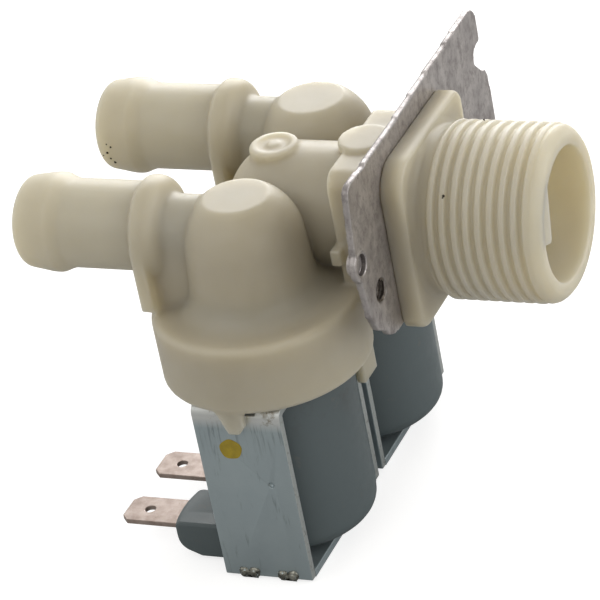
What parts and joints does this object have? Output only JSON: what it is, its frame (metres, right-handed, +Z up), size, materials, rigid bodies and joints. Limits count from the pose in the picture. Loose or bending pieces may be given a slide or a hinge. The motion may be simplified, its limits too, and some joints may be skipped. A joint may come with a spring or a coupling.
{
  "type": "two-way solenoid inlet valve",
  "caption": "Solenoid water valve with a threaded inlet, a sheet-metal mounting plate, hose tails side by side, and boxed coils with blade terminals below.",
  "frame": {"origin": "on the inlet's axis, in the plane of the mounting plate's front face", "axes": "+X along the inlet, out towards the supply hose; +Y from the front valve to the back valve; +Z up, away from the coils"},
  "size_m": [0.08, 0.0629, 0.0663],
  "materials": {
    "cream_polyamide": "satin",
    "plate_steel": "satin",
    "yoke_steel": "satin",
    "grey_polyamide": "matte",
    "tinned_brass": "satin",
    "copper_wire": "satin",
    "core_steel": "satin",
    "spring_steel": "satin",
    "black_rubber": "matte",
    "white_plastic": "satin"
  },
  "bodies": {
    "valve": {"valve_body": "cream_polyamide", "mounting_plate": "plate_steel", "inlet_filter": "white_plastic", "flow_cage": "white_plastic", "flow_washer": "black_rubber", "front_yoke": "yoke_steel", "front_yoke_base": "yoke_steel", "front_coil_cover": "grey_polyamide", "front_bobbin": "white_plastic", "front_winding": "copper_wire", "front_flux_sleeve": "yoke_steel", "front_terminal_near": "tinned_brass", "front_terminal_far": "tinned_brass", "front_guide_tube": "white_plastic", "front_spring": "spring_steel", "front_diaphragm": "black_rubber", "back_yoke": "yoke_steel", "back_yoke_base": "yoke_steel", "back_coil_cover": "grey_polyamide", "back_bobbin": "white_plastic", "back_winding": "copper_wire", "back_flux_sleeve": "yoke_steel", "back_terminal_near": "tinned_brass", "back_terminal_far": "tinned_brass", "back_guide_tube": "white_plastic", "back_spring": "spring_steel", "back_diaphragm": "black_rubber"},
    "front_core": {"front_plunger": "core_steel", "front_plunger_seal": "black_rubber"},
    "front_pilot": {"front_insert": "white_plastic"},
    "back_core": {"back_plunger": "core_steel", "back_plunger_seal": "black_rubber"},
    "back_pilot": {"back_insert": "white_plastic"}
  },
  "joints": [
    {"name": "front_core_slide", "type": "slide", "parent": "valve", "child": "front_core", "axis": [0, 0, -1], "range_m": [0, 0.003], "stiffness_N_per_m": 150, "springref_m": -0.004, "deforming": ["front_spring"]},
    {"name": "front_pilot_slide", "type": "slide", "parent": "valve", "child": "front_pilot", "axis": [0, 0, -1], "range_m": [0, 0.0024], "stiffness_N_per_m": 150, "springref_m": -0.002, "deforming": ["front_diaphragm"]},
    {"name": "back_core_slide", "type": "slide", "parent": "valve", "child": "back_core", "axis": [0, 0, -1], "range_m": [0, 0.003], "stiffness_N_per_m": 150, "springref_m": -0.004, "deforming": ["back_spring"]},
    {"name": "back_pilot_slide", "type": "slide", "parent": "valve", "child": "back_pilot", "axis": [0, 0, -1], "range_m": [0, 0.0024], "stiffness_N_per_m": 150, "springref_m": -0.002, "deforming": ["back_diaphragm"]}
  ],
  "couplings": [
    {"joint": "front_pilot_slide", "follows": "front_core_slide", "ratio": 0.8},
    {"joint": "back_pilot_slide", "follows": "back_core_slide", "ratio": 0.8}
  ]
}
